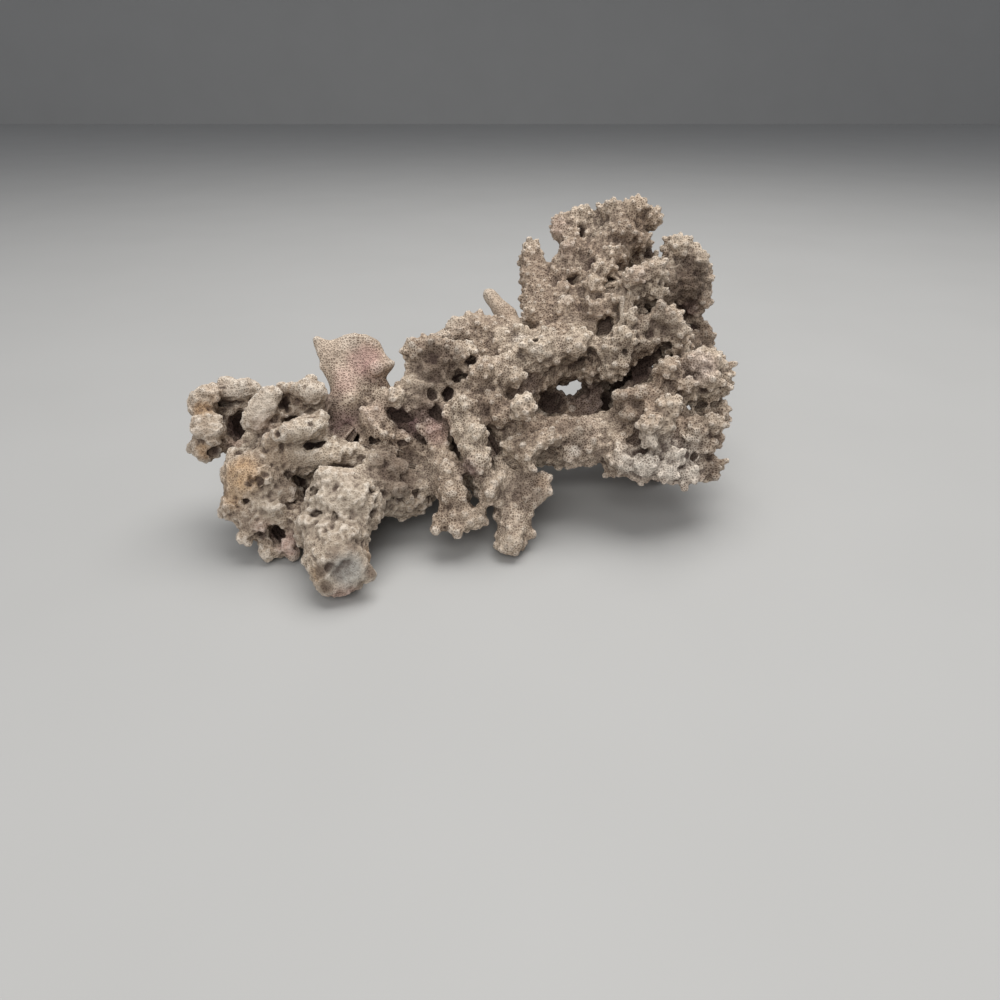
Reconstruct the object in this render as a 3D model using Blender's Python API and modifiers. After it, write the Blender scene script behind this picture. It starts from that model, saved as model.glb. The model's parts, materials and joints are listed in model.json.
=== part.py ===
"""Branching coral: one dry colony, broken from its reef and lying on its side.

The old, eroded base is at the left, with lobes and a thin fan standing on it. A thick trunk runs
from it to the right and forks into the knobbly branches of the crown. Each main fork is one piece.
The frame is the coral's own: +X along its length, +Z up, the origin on the table under its middle.
"""

import math
import random

import bmesh
import bpy
import numpy as np
from mathutils import Matrix, Vector, noise

# Driving dimensions, in metres.
EYE = Vector((0.0075, -0.3135, 0.175))
NEAR = 0.315
GAP = 0.0007
BLOCK = 0.5
VOXEL = 0.0011
EDGE = 0.0066
ROUGH_EDGE = EDGE / 2
CUTTER_EDGE = 0.6 * EDGE
LUMP_HEIGHT = 0.0012
LUMP_SIZE = 0.009
MM = 0.001

# Shares and counts.
SOFTEN_SHARE = 0.5
SOFTEN_PASSES = 3
FINE_LUMP_SHARE = 0.5
FINE_LUMPS_PER_LUMP = 2.1
KNOB_SPACING = 2.1
KNOB_RISE = 0.35
TRIES_PER_KNOB = 30
MOST_SHELL_FACTOR = 1.5
TRIANGLE_AREA = math.sqrt(3) / 4

# The forms that show were laid out on one front picture of the coral, 1000 units square, seen
# from EYE and looking down by PITCH. A place there is (across, down, behind): the first two are
# picture units, and behind is in millimetres past the picture plane, which is NEAR away.
PITCH = math.radians(29.8)
PICTURE_MIDDLE = 500.0
PICTURE_FOCAL = 751.0
RIGHT = Vector((1, 0, 0))
AHEAD = Vector((0, math.cos(PITCH), -math.sin(PITCH)))
ABOVE = Vector((0, math.sin(PITCH), math.cos(PITCH)))

# Each piece has lobes, limbs and hidden limbs. Radii and half sizes are in millimetres.
# A lobe is (across, down, behind, half width, half height, half depth, tilt in degrees).
# A limb is a row of (across, down, behind, radius), from its root to its tip.
# A hidden limb is a row of (x, y, z, radius) in millimetres in the coral's own frame.
PIECES = {
    "base": {
        "lobes": [
            (345, 503, -18, 17, 15, 13, 0),
            (322, 530, -14, 12, 10, 12, 0),
            (260, 478, -8, 15.5, 16, 14, 0),
            (234, 510, -10, 8, 5, 7, 15),
            (270, 514, -8, 14, 8, 12, 0),
            (281, 540, -4, 9, 8.5, 11, 0),
            (300, 455, -4, 24, 9, 14, -4),
            (375, 482, -2, 14, 15, 14, 0),
            (405, 492, 2, 14, 11, 13, 0),
            (322, 480, 24, 32, 19, 24, 0),
            (300, 418, 0, 12, 6, 8, -20),
            (313, 393, -4, 8, 6.3, 7, 10),
            (300, 402, -3, 6, 5, 6, 0),
            (266, 410, -10, 6, 11.5, 4.5, 28),
            (256, 424, -11, 5, 5, 4, 0),
            (276, 398, -8, 6, 5, 4.5, 0),
        ],
        "limbs": [
            [(337, 528, -20, 12), (338, 566, -30, 12.5)],
            [(264, 528, -8, 5), (250, 533, -12, 4.2), (240, 541, -14, 3.2)],
            [(275, 438, -14, 4.5), (300, 430, -15, 6), (320, 420, -12, 5.5)],
            [(310, 402, 0, 6.5), (308, 425, 2, 7)],
            [(280, 392, -8, 3.4), (291, 383, -6, 1.8)],
            [(268, 425, -6, 5), (276, 440, -2, 6)],
        ],
        "hidden": [
            [(-66, -44, 12, 14), (-58, -38, 9, 10)],
            [(-60, 5, 14, 16), (-58, 20, 9, 12)],
        ],
        "dents": [
            (292, 419, -20, 3, 5),
            (314, 444, -14, 3.4, 5),
            (353, 438, -8, 4.5, 6),
            (318, 512, -30, 3.4, 4),
            (300, 482, -24, 4, 4),
            (275, 535, -14, 5.5, 6),
            (372, 492, -16, 3, 3),
            (345, 465, -14, 3.4, 4),
            (242, 432, -12, 4.5, 6),
        ],
        "knobs": (26, 2.6, 3.6),
    },
    "trunk": {
        "lobes": [
            (490, 376, 6, 15, 9, 11, 0),
            (472, 404, 2, 11, 8, 9, 0),
            (523, 405, -6, 6.3, 6.5, 6.3, 0),
            (505, 415, 2, 10, 8, 9, 0),
            (540, 352, 12, 15, 9, 12, -10),
            (578, 345, 14, 8.5, 7.5, 8, 0),
            (394, 398, 0, 5.5, 5.5, 5.5, 0),
            (384, 402, 6, 8, 7, 8, 0),
            (374, 388, 7, 7, 5, 5, 0),
            (366, 411, 8, 5, 8, 6, 0),
            (416, 392, 6, 10, 11, 10, 0),
            (382, 424, 2, 9, 7, 8, 0),
            (436, 432, 8, 12, 8, 9, 0),
            (440, 400, 14, 14, 12, 12, 0),
            (440, 338, 27, 9, 4.5, 8, -10),
            (474, 328, 30, 13, 7.5, 10, -6),
            (496, 335, 26, 9, 8, 9, 0),
            (519, 337, 22, 6, 6, 6, 0),
            (508, 350, 20, 8, 7, 8, 0),
        ],
        "limbs": [
            [(380, 450, 14, 15), (440, 435, 20, 17), (495, 400, 24, 18), (545, 360, 32, 16)],
            [(545, 360, 32, 16), (575, 345, 38, 14), (600, 335, 40, 12)],
            [(440, 470, 12, 13), (480, 450, 14, 12), (520, 440, 14, 11)],
            [(480, 335, 30, 10), (495, 360, 30, 12)],
        ],
        "hidden": [
            [(-20, 12, 20, 15), (2, 28, 24, 14)],
        ],
        "dents": [
            (448, 398, -2, 4.5, 6),
            (425, 412, -4, 4, 5),
        ],
        "knobs": (70, 2.4, 3.4),
    },
    "left_lobes": {
        "lobes": [
            (234, 392, 2, 13, 6, 8, -4),
            (203, 402, -2, 8, 7, 7, -20),
            (208, 429, -8, 6.3, 8, 6, 20),
            (204, 448, -2, 8.5, 6.5, 7, 10),
            (238, 424, 10, 12, 12, 9, 0),
        ],
        "limbs": [[(232, 432, 8, 9), (262, 450, 4, 9)]],
        "knobs": (8, 2.4, 3.2),
    },
    "fan": {
        "lobes": [
            (350, 368, 8, 13, 12, 4.6, 0),
            (345, 352, 8, 10, 7, 4, -8),
            (368, 356, 8, 9, 9, 4.2, -20),
            (372, 370, 7, 8, 6, 4.6, 0),
        ],
        "limbs": [
            [(346, 440, 8, 7.5), (346, 405, 7, 7.6), (349, 380, 8, 8)],
            [(330, 356, 8, 4), (322, 346, 8, 3.4), (315, 338, 8, 2.8)],
            [(380, 366, 7, 4), (392, 363, 6, 2.8)],
        ],
        "knobs": (3, 2.0, 2.8),
        "finer": 0.85,
    },
    "tuft": {
        "lobes": [
            (432, 352, 12, 12, 8, 9, 0),
            (413, 353, 8, 5, 6, 6, 0),
            (458, 358, 8, 8, 9, 8, 0),
            (440, 374, 10, 12, 8, 9, 0),
            (420, 372, 10, 7, 6, 7, 0),
        ],
        "limbs": [[(440, 372, 12, 9), (442, 395, 18, 10)]],
        "knobs": (22, 2.0, 3.0),
    },
    "stub": {
        "finer": 0.6,
        "limbs": [[(516, 330, 40, 5), (504, 314, 46, 4.8), (489, 296, 50, 4.2)]],
    },
    "finger": {
        "lobes": [(529, 262, 50, 7, 7, 6, 0)],
        "limbs": [[(550, 325, 38, 10), (540, 300, 42, 9.5), (532, 275, 48, 7), (532, 246, 52, 5)]],
        "knobs": (20, 2.0, 2.8),
    },
    "left_branch": {
        "lobes": [
            (563, 222, 56, 7, 6, 7, 0),
            (586, 215, 58, 6, 6, 6, 0),
            (558, 226, 54, 4, 5, 5, 0),
        ],
        "limbs": [[(572, 320, 42, 12), (568, 290, 46, 10.5), (576, 250, 52, 9.5), (580, 222, 56, 8)]],
        "knobs": (34, 2.2, 3.0),
    },
    "top_branch": {
        "lobes": [
            (628, 220, 50, 15, 9, 11, 0),
            (645, 217, 50, 8, 7.5, 8, 0),
            (612, 208, 52, 7, 5, 7, 0),
            (612, 245, 46, 9, 9, 9, 0),
            (642, 256, 58, 8, 8, 8, 0),
        ],
        "limbs": [[(590, 325, 42, 12), (600, 285, 42, 11), (610, 255, 45, 10), (626, 225, 50, 11)]],
        "knobs": (46, 2.2, 3.0),
    },
    "upper_right_branch": {
        "lobes": [
            (640, 282, 24, 12, 8, 9, -15),
            (686, 272, 42, 12, 13, 12, 0),
            (678, 250, 40, 9, 8, 9, 0),
            (700, 292, 46, 6, 10, 8, 0),
            (688, 313, 50, 8, 9, 8, 0),
        ],
        "limbs": [
            [(598, 335, 36, 12), (625, 300, 32, 11), (655, 285, 36, 11), (690, 280, 44, 11)],
            [(625, 305, 52, 11), (650, 290, 66, 10), (668, 280, 78, 8)],
        ],
        "knobs": (52, 2.2, 3.0),
    },
    "middle_branch": {
        "lobes": [
            (628, 340, 18, 12, 10, 9, -15),
            (662, 332, 18, 11, 10, 9, 0),
            (612, 362, 16, 8, 9, 8, 0),
            (632, 320, 18, 4, 5, 5, 0),
            (658, 314, 18, 4, 5, 5, 0),
            (702, 340, 52, 7.5, 7, 8, 0),
        ],
        "limbs": [
            [(588, 360, 32, 12), (610, 355, 24, 11), (640, 340, 22, 10), (672, 340, 24, 8)],
            [(640, 345, 30, 10), (675, 345, 48, 9), (700, 340, 52, 7)],
        ],
        "knobs": (50, 2.2, 3.0),
    },
    "right_branch": {
        "lobes": [
            (702, 375, 16, 12, 12, 10, 0),
            (672, 372, 12, 8, 7, 8, 0),
            (720, 378, 22, 5.5, 9.5, 8, 0),
            (680, 392, 16, 11, 5, 9, 0),
        ],
        "limbs": [[(630, 410, 34, 10), (655, 390, 28, 9), (690, 380, 22, 10)]],
        "knobs": (44, 2.2, 3.0),
    },
    "front_limb": {
        "lobes": [
            (575, 440, 8, 13, 11, 11, 0),
            (634, 408, 6, 9, 9, 9, 0),
        ],
        "limbs": [
            [(530, 440, 16, 12), (575, 442, 12, 11.5), (620, 436, 12, 11), (655, 430, 14, 10)],
            [(625, 425, 10, 9), (645, 402, 10, 8), (662, 395, 12, 7)],
        ],
        "knobs": (46, 2.2, 3.2),
    },
    "front_knob": {
        "lobes": [
            (651, 426, -8, 6, 8.5, 6.5, 20),
            (668, 413, -10, 7, 7, 6.5, 0),
        ],
        "limbs": [[(660, 420, -6, 7), (655, 432, 6, 8)]],
        "knobs": (12, 2.0, 2.6),
    },
    "side_lobe": {
        "lobes": [
            (700, 434, 6, 11, 9, 8, 0),
            (713, 413, 28, 8.5, 6.5, 8, 0),
        ],
        "limbs": [[(650, 432, 14, 9), (685, 434, 12, 9), (706, 425, 20, 8)]],
        "knobs": (26, 2.2, 3.0),
    },
    "bottom_lobe": {
        "lobes": [
            (645, 462, 2, 13, 8, 9, 0),
            (684, 468, 0, 13, 8.5, 9, 4),
            (616, 456, 2, 5.5, 8, 6, -20),
            (711, 470, 12, 5, 7.5, 7, 0),
        ],
        "limbs": [
            [(652, 446, 10, 8), (665, 460, 8, 9), (690, 466, 8, 8)],
            [(612, 455, 14, 7), (608, 474, 14, 4)],
        ],
        "knobs": (44, 2.2, 3.2),
    },
    "drooping_branch": {
        "lobes": [(478, 518, -6, 5.5, 5.5, 5, 0)],
        "limbs": [
            [(440, 450, 4, 8), (446, 468, -2, 7.6), (452, 490, -6, 8.2), (464, 512, -8, 8)],
            [(455, 508, -8, 6), (437, 526, -9, 4.2)],
            [(460, 512, -9, 5.5), (455, 530, -11, 4.3)],
            [(468, 512, -8, 6), (480, 524, -8, 4.4)],
        ],
        "knobs": (14, 2.0, 2.8),
    },
    "front_finger": {
        "limbs": [[(462, 412, 0, 8), (470, 432, -6, 7.6), (476, 450, -9, 6.4), (480, 466, -10, 5.6)]],
        "knobs": (14, 2.0, 2.8),
    },
    "lowest_branch": {
        "lobes": [
            (532, 490, -2, 9, 9, 5, 0),
            (488, 484, 8, 8, 10, 8, 0),
            (511, 543, -4, 8, 7, 7.5, 0),
        ],
        "limbs": [
            [(500, 455, 10, 9), (508, 485, 2, 8.5), (514, 515, 0, 7.4), (512, 540, -3, 7.6)],
            [(505, 476, -4, 4.6), (491, 488, -10, 4.4), (492, 500, -11, 3.6)],
        ],
        "knobs": (22, 2.0, 3.0),
    },
    "knobbly_finger": {
        "lobes": [(509, 448, 2, 6, 6.5, 6, 0)],
        "limbs": [
            [(515, 432, 6, 7), (522, 448, -3, 5.6), (527, 466, -6, 4.2)],
            [(525, 448, -3, 5.2), (549, 438, -4, 5)],
        ],
        "knobs": (14, 2.0, 2.8),
    },
    "inner_limb": {
        "lobes": [(598, 388, 44, 9, 10, 9, 0), (628, 372, 46, 9, 9, 9, 0)],
        "limbs": [[(530, 420, 34, 11), (580, 417, 44, 12), (630, 400, 50, 11), (662, 385, 54, 9)]],
        "hidden": [
            [(66, 30, 34, 11), (80, 46, 30, 9), (90, 58, 34, 7)],
            [(72, 28, 36, 11), (80, 20, 20, 10), (85, 16, 7, 9)],
        ],
        "knobs": (30, 2.4, 3.2),
    },
    "back_foot": {
        "hidden": [
            [(4, 30, 26, 13), (14, 44, 16, 12), (20, 52, 7, 10)],
            [(14, 42, 20, 10), (2, 58, 22, 9), (-6, 70, 30, 7)],
        ],
        "knobs": (24, 2.4, 3.2),
    },
    "back_branch": {
        "hidden": [
            [(10, 28, 44, 13), (16, 48, 42, 12), (22, 66, 48, 10), (24, 80, 58, 8)],
            [(20, 58, 44, 9), (38, 72, 40, 8)],
        ],
        "knobs": (30, 2.4, 3.2),
    },
    "back_right_branch": {
        "hidden": [
            [(52, 38, 62, 12), (66, 56, 56, 11), (82, 72, 58, 8)],
            [(66, 54, 56, 9), (60, 76, 50, 7)],
        ],
        "knobs": (26, 2.4, 3.2),
    },
}

# The broken end of the old foot: a point on the break, and the way that it faces.
BREAK_AT = (343, 572, -38)
BREAK_FACING = -AHEAD + 0.35 * RIGHT - 0.25 * ABOVE

# Each material has a colour and a roughness; each piece that isn't dry coral is named.
MATERIALS = {
    "dry_coral": ((0.50, 0.43, 0.35, 1), 0.9),
    "old_rock": ((0.47, 0.41, 0.31, 1), 0.92),
    "pink_coral": ((0.46, 0.34, 0.32, 1), 0.9),
    "brown_coral": ((0.27, 0.21, 0.16, 1), 0.95),
}
MADE_OF = {"base": "old_rock", "left_lobes": "old_rock", "fan": "pink_coral", "tuft": "brown_coral"}


def spot(across, down, behind):
    """The place of the coral that the front picture shows at across and down."""
    distance = NEAR + behind * MM
    sideways = RIGHT * (across - PICTURE_MIDDLE) + ABOVE * (PICTURE_MIDDLE - down)
    return EYE + (AHEAD + sideways / PICTURE_FOCAL) * distance


def clear_scene():
    for obj in list(bpy.data.objects):
        bpy.data.objects.remove(obj)


def add_lobe(bm, across, down, behind, half_width, half_height, half_depth, tilt):
    turned = Matrix.Rotation(math.radians(tilt), 3, AHEAD)
    sides = [turned @ RIGHT, AHEAD, turned @ ABOVE]
    halves = [half_width * MM, half_depth * MM, half_height * MM]
    columns = Matrix([side * half for side, half in zip(sides, halves)]).transposed().to_4x4()
    place = Matrix.Translation(spot(across, down, behind)) @ columns
    bmesh.ops.create_icosphere(bm, subdivisions=3, radius=1, matrix=place)


def add_limb(bm, points):
    """A row of rounded cones, each the hull of two balls."""
    for (start, start_radius), (end, end_radius) in zip(points, points[1:]):
        link = bmesh.new()
        for centre, radius in ((start, start_radius), (end, end_radius)):
            bmesh.ops.create_icosphere(
                link, subdivisions=3, radius=radius, matrix=Matrix.Translation(centre)
            )
        hull = bmesh.ops.convex_hull(link, input=link.verts)
        inside = [v for v in hull["geom_interior"] if isinstance(v, bmesh.types.BMVert)]
        bmesh.ops.delete(link, geom=list(set(inside)), context="VERTS")
        mesh = bpy.data.meshes.new("link")
        link.to_mesh(mesh)
        link.free()
        bm.from_mesh(mesh)
        bpy.data.meshes.remove(mesh)


def object_of(name, bm):
    bmesh.ops.recalc_face_normals(bm, faces=bm.faces)
    mesh = bpy.data.meshes.new(name)
    bm.to_mesh(mesh)
    bm.free()
    obj = bpy.data.objects.new(name, mesh)
    bpy.context.scene.collection.objects.link(obj)
    return obj


def apply_modifiers(obj):
    graph = bpy.context.evaluated_depsgraph_get()
    mesh = bpy.data.meshes.new_from_object(obj.evaluated_get(graph))
    obj.modifiers.clear()
    old = obj.data
    obj.data = mesh
    bpy.data.meshes.remove(old)


def fuse(obj, voxel):
    """Makes the overlapping shells one closed skin."""
    remesh = obj.modifiers.new("fuse", "REMESH")
    remesh.mode = "VOXEL"
    remesh.voxel_size = voxel
    soften = obj.modifiers.new("soften", "SMOOTH")
    soften.factor = SOFTEN_SHARE
    soften.iterations = SOFTEN_PASSES
    apply_modifiers(obj)


def roughen(obj):
    """Moves the skin in and out in rounded lumps, large and fine."""
    mesh = obj.data
    normals = [vert.normal.copy() for vert in mesh.vertices]
    for vert, normal in zip(mesh.vertices, normals):
        place = vert.co / LUMP_SIZE
        lump = noise.noise(place) + FINE_LUMP_SHARE * noise.noise(place * FINE_LUMPS_PER_LUMP)
        vert.co += normal * LUMP_HEIGHT * lump


def scattered(mesh, count, apart, seed):
    """Up to count places on the mesh, at least apart from each other, as (point, normal)."""
    chance = random.Random(seed)
    areas = np.array([face.area for face in mesh.polygons])
    order = chance.choices(range(len(areas)), weights=areas, k=count * TRIES_PER_KNOB)
    kept = []
    for index in order:
        face = mesh.polygons[index]
        if all((face.center - point).length > apart for point, _ in kept):
            kept.append((face.center.copy(), face.normal.copy()))
        if len(kept) == count:
            break
    return kept


def add_knobs(obj, count, low, high, seed):
    """Grows round knobs, of a radius from low to high, out of the skin."""
    chance = random.Random(seed)
    bm = bmesh.new()
    bm.from_mesh(obj.data)
    for point, normal in scattered(obj.data, count, KNOB_SPACING * high, seed):
        radius = chance.uniform(low, high)
        matrix = Matrix.Translation(point + normal * radius * KNOB_RISE)
        bmesh.ops.create_icosphere(bm, subdivisions=2, radius=radius, matrix=matrix)
    bm.to_mesh(obj.data)
    bm.free()
    fuse(obj, VOXEL)


def dent(obj, centre, radius, depth):
    """Pushes the skin within radius of a point back by up to depth."""
    for vert in obj.data.vertices:
        share = (vert.co - centre).length / radius
        if share < 1:
            vert.co += AHEAD * depth * (1 - share * share)


def thin_out(obj, edge):
    """Leaves triangles of about that edge length."""
    area = sum(face.area for face in obj.data.polygons)
    wanted = area / (TRIANGLE_AREA * edge * edge)
    triangles = sum(len(face.vertices) - 2 for face in obj.data.polygons)
    decimate = obj.modifiers.new("thin out", "DECIMATE")
    decimate.ratio = min(1.0, wanted / triangles)
    decimate.use_collapse_triangulate = True
    apply_modifiers(obj)


def block_past(point, outward):
    """A large block whose face lies at the point and looks back along outward."""
    bm = bmesh.new()
    turned = outward.to_track_quat("Z", "Y").to_matrix().to_4x4()
    centre = point + outward.normalized() * BLOCK / 2
    bmesh.ops.create_cube(bm, size=BLOCK, matrix=Matrix.Translation(centre) @ turned)
    return object_of("block", bm)


def keep_largest(obj):
    """Removes the crumbs that a cut has left beside the main body."""
    bm = bmesh.new()
    bm.from_mesh(obj.data)
    left = set(bm.verts)
    bodies = []
    while left:
        reached = [left.pop()]
        body = []
        while reached:
            vert = reached.pop()
            body.append(vert)
            for edge in vert.link_edges:
                other = edge.other_vert(vert)
                if other in left:
                    left.remove(other)
                    reached.append(other)
        bodies.append(body)
    bodies.sort(key=len)
    crumbs = [vert for body in bodies[:-1] for vert in body]
    bmesh.ops.delete(bm, geom=crumbs, context="VERTS")
    bm.to_mesh(obj.data)
    bm.free()


def near_each_other(first, second):
    """True if the two pieces' boxes meet."""
    boxes = []
    for obj in (first, second):
        corners = np.array([v.co for v in obj.data.vertices])
        boxes.append((corners.min(axis=0) - GAP, corners.max(axis=0) + GAP))
    return bool((boxes[0][0] < boxes[1][1]).all() and (boxes[1][0] < boxes[0][1]).all())


def subtract(obj, cutter):
    cut = obj.modifiers.new("cut", "BOOLEAN")
    cut.operation = "DIFFERENCE"
    cut.solver = "EXACT"
    cut.object = cutter
    apply_modifiers(obj)


def grown(obj, distance):
    """A clean copy of the piece, larger by distance all round."""
    bm = bmesh.new()
    bm.from_mesh(obj.data)
    bm.normal_update()
    moved = []
    for vert in bm.verts:
        shell_factor = min(vert.calc_shell_factor(), MOST_SHELL_FACTOR)
        moved.append(vert.co + vert.normal * distance * shell_factor)
    for vert, place in zip(bm.verts, moved):
        vert.co = place
    copy = object_of("cutter", bm)
    remesh = copy.modifiers.new("fuse", "REMESH")
    remesh.mode = "VOXEL"
    remesh.voxel_size = VOXEL
    apply_modifiers(copy)
    thin_out(copy, CUTTER_EDGE)
    return copy


def cut_back(piece, earlier, cutter):
    """Cuts the piece where an earlier piece is."""
    if near_each_other(piece, earlier):
        subtract(piece, cutter)
        keep_largest(piece)


def centre_all(pieces):
    """Brings the middle of the whole over the origin."""
    corners = np.array([vert.co for piece in pieces for vert in piece.data.vertices])
    middle = Vector((corners.min(axis=0) + corners.max(axis=0)) / 2)
    middle.z = 0
    for piece in pieces:
        piece.data.transform(Matrix.Translation(-middle))


def make_material(name):
    colour, roughness = MATERIALS[name]
    material = bpy.data.materials.new(name)
    material.use_nodes = True
    shader = material.node_tree.nodes["Principled BSDF"]
    shader.inputs["Base Color"].default_value = colour
    shader.inputs["Roughness"].default_value = roughness
    shader.inputs["Metallic"].default_value = 0
    return material


def make_piece(name, form, seed):
    bm = bmesh.new()
    for lobe in form.get("lobes", []):
        add_lobe(bm, *lobe)
    for limb in form.get("limbs", []):
        add_limb(bm, [(spot(*row[:3]), row[3] * MM) for row in limb])
    for limb in form.get("hidden", []):
        add_limb(bm, [(Vector(row[:3]) * MM, row[3] * MM) for row in limb])
    obj = object_of(name, bm)
    fuse(obj, VOXEL)
    roughen(obj)
    if "knobs" in form:
        count, low, high = form["knobs"]
        add_knobs(obj, count, low * MM, high * MM, seed)
    for across, down, behind, radius, depth in form.get("dents", []):
        dent(obj, spot(across, down, behind), radius * MM, depth * MM)
    thin_out(obj, ROUGH_EDGE)
    return obj


def main():
    clear_scene()
    collection = bpy.data.collections.new("branching_coral")
    bpy.context.scene.collection.children.link(collection)
    materials = {name: make_material(name) for name in MATERIALS}
    table = block_past(Vector((0, 0, 0)), Vector((0, 0, -1)))
    broken_off = block_past(spot(*BREAK_AT), BREAK_FACING)
    made = []
    for seed, (name, form) in enumerate(PIECES.items()):
        piece = make_piece(name, form, seed)
        for earlier, cutter in made:
            cut_back(piece, earlier, cutter)
        fuse(piece, VOXEL)
        thin_out(piece, EDGE * form.get("finer", 1))
        for earlier, _ in made:
            cut_back(piece, earlier, earlier)
        for block in (table, broken_off):
            cut_back(piece, block, block)
        made.append((piece, grown(piece, GAP)))
    for piece, cutter in made:
        bpy.data.objects.remove(cutter)
        piece.data.materials.clear()
        piece.data.materials.append(materials[MADE_OF.get(piece.name, "dry_coral")])
        bpy.context.scene.collection.objects.unlink(piece)
        collection.objects.link(piece)
    for block in (table, broken_off):
        bpy.data.objects.remove(block)
    centre_all([piece for piece, _ in made])


main()
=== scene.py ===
"""Branching coral: the finish of one dry colony, broken from its reef and lying on its side.

The skin of all the colony's parts is made in one go, so that it runs on across every fork. It is
lumpy where the old base is eroded, grows warts where the branches are, and is then divided at the
forks into one closed piece for each part.
"""

import json
import math
import random

import bmesh
import bpy
import numpy as np
from mathutils import Matrix, Vector, noise
from mathutils.bvhtree import BVHTree

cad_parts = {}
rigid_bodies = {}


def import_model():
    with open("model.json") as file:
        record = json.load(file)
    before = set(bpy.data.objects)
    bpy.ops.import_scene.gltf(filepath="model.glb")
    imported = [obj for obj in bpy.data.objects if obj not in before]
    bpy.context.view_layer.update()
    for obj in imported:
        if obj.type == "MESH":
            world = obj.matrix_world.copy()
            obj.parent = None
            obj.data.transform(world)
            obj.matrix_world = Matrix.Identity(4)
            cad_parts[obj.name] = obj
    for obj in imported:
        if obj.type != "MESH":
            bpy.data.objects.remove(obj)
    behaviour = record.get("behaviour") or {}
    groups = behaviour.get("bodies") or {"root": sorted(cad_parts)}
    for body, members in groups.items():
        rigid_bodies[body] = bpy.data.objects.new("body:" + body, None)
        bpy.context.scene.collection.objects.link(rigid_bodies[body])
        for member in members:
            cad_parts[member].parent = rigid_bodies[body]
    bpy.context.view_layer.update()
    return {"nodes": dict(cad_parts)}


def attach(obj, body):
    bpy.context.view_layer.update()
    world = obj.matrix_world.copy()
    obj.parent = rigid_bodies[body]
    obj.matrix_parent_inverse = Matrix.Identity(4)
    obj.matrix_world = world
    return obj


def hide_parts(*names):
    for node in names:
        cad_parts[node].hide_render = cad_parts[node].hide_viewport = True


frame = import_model()
NODES = frame["nodes"]

MM = 0.001

# The camera of the front picture, which is 1000 units square.
EYE = Vector((0.01293, -0.315406, 0.175))
PITCH = math.radians(29.8)
PICTURE_MIDDLE = 500.0
PICTURE_FOCAL = 751.0
SENSOR = 36.0
NEAR = 0.315
RIGHT = Vector((1, 0, 0))
AHEAD = Vector((0, math.cos(PITCH), -math.sin(PITCH)))
ABOVE = Vector((0, math.sin(PITCH), math.cos(PITCH)))

# Stretches of skin without knobs and warts: across, down, and the radius in millimetres.
SMOOTH = [
    (346, 570, 11),
    (240, 478, 9),
    (300, 456, 9),
    (320, 462, 5),
    (264, 409, 8),
    (312, 391, 6),
    (297, 431, 8),
    (582, 322, 5),
]

# Grids, in metres: of the rough core, of the finished skin, of the hollows that are cut out and of
# the slack copy that tells ridges from furrows.
CORE_VOXEL = 0.001
SKIN_VOXEL = 0.00068
HOLLOW_VOXEL = 0.5 * MM
SLACK_VOXEL = 1.6 * MM

# Meshing: how many balls are grown at once, how finely, how far the parts swell so that they fuse,
# and how close two corners are when they are one.
BATCH = 120
LUMP_FINENESS = 3
WART_FINENESS = 2
SWELL = 0.4
SAME_CORNER = 0.00001

# How a cap's middle is sought: from about so many points of its rim, with so many rounds of steps,
# and where the straight lines from the rim to the middle are tested.
RIM_POINTS = 80
CAP_TRIES = 10
WAY_SHARES = (0.3, 0.6, 0.9)
WAYS = [(x, y, z) for x in (-1, 0, 1) for y in (-1, 0, 1) for z in (-1, 0, 1) if x or y or z]

# Warts on each part: how far apart, how thick and how long they are in millimetres, and which way
# the part grows, as shares of right, away from the front and up.
WARTS = {
    "base": (6.5, 2.6, 1.4, (0, 0, 0.3)),
    "left_lobes": (6.5, 2.6, 1.2, (-1, 0, 0.2)),
    "trunk": (3.5, 1.9, 2.9, (0.8, 0.1, 0.4)),
    "tuft": (2.8, 1.4, 3.2, (-0.4, -0.3, 0.8)),
    "finger": (3.0, 1.5, 2.8, (0, 0.3, 1)),
    "left_branch": (3.0, 1.55, 3.2, (-0.1, 0.3, 1)),
    "top_branch": (2.9, 1.45, 3.4, (0.3, 0.3, 1)),
    "upper_right_branch": (3.1, 1.65, 3.6, (0.9, 0.2, 0.6)),
    "middle_branch": (3.3, 1.75, 4.0, (0.9, 0.1, 0.5)),
    "right_branch": (3.3, 1.75, 3.8, (1, -0.1, 0.3)),
    "front_limb": (4.0, 2.1, 2.4, (1, -0.1, 0.1)),
    "front_knob": (3.2, 1.7, 3.0, (0.4, -0.6, 0.6)),
    "side_lobe": (3.3, 1.75, 3.4, (1, -0.2, 0.1)),
    "bottom_lobe": (3.4, 1.85, 3.4, (0.8, -0.4, -0.4)),
    "drooping_branch": (4.1, 2.2, 2.4, (0, -0.4, -0.9)),
    "front_finger": (3.7, 2.0, 2.4, (0.1, -0.5, -0.8)),
    "lowest_branch": (4.1, 2.2, 2.4, (0.1, -0.4, -0.9)),
    "knobbly_finger": (3.4, 1.8, 2.8, (0.3, -0.6, -0.6)),
    "inner_limb": (3.5, 1.9, 3.0, (0.9, 0.3, 0)),
    "back_foot": (3.7, 2.0, 2.8, (0, 0.6, -0.6)),
    "back_branch": (3.3, 1.8, 3.5, (0.2, 1, 0.2)),
    "back_right_branch": (3.3, 1.75, 3.5, (0.5, 0.9, 0)),
}

# Where warts may start: so many places are drawn, and each is compared with those in the cells
# around it, which are this wide in millimetres. Warts that are asked to stand farther apart than a
# cell, as on the base, may come closer than that.
WART_PLACES = 90000
CELL = 4.5

# A wart's shares of its part's thickness and length, and how much its part's growth bends it.
WART_THICK = (0.85, 1.2)
WART_LONG = (0.4, 0.75)
WART_LEAN = 0.5

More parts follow.
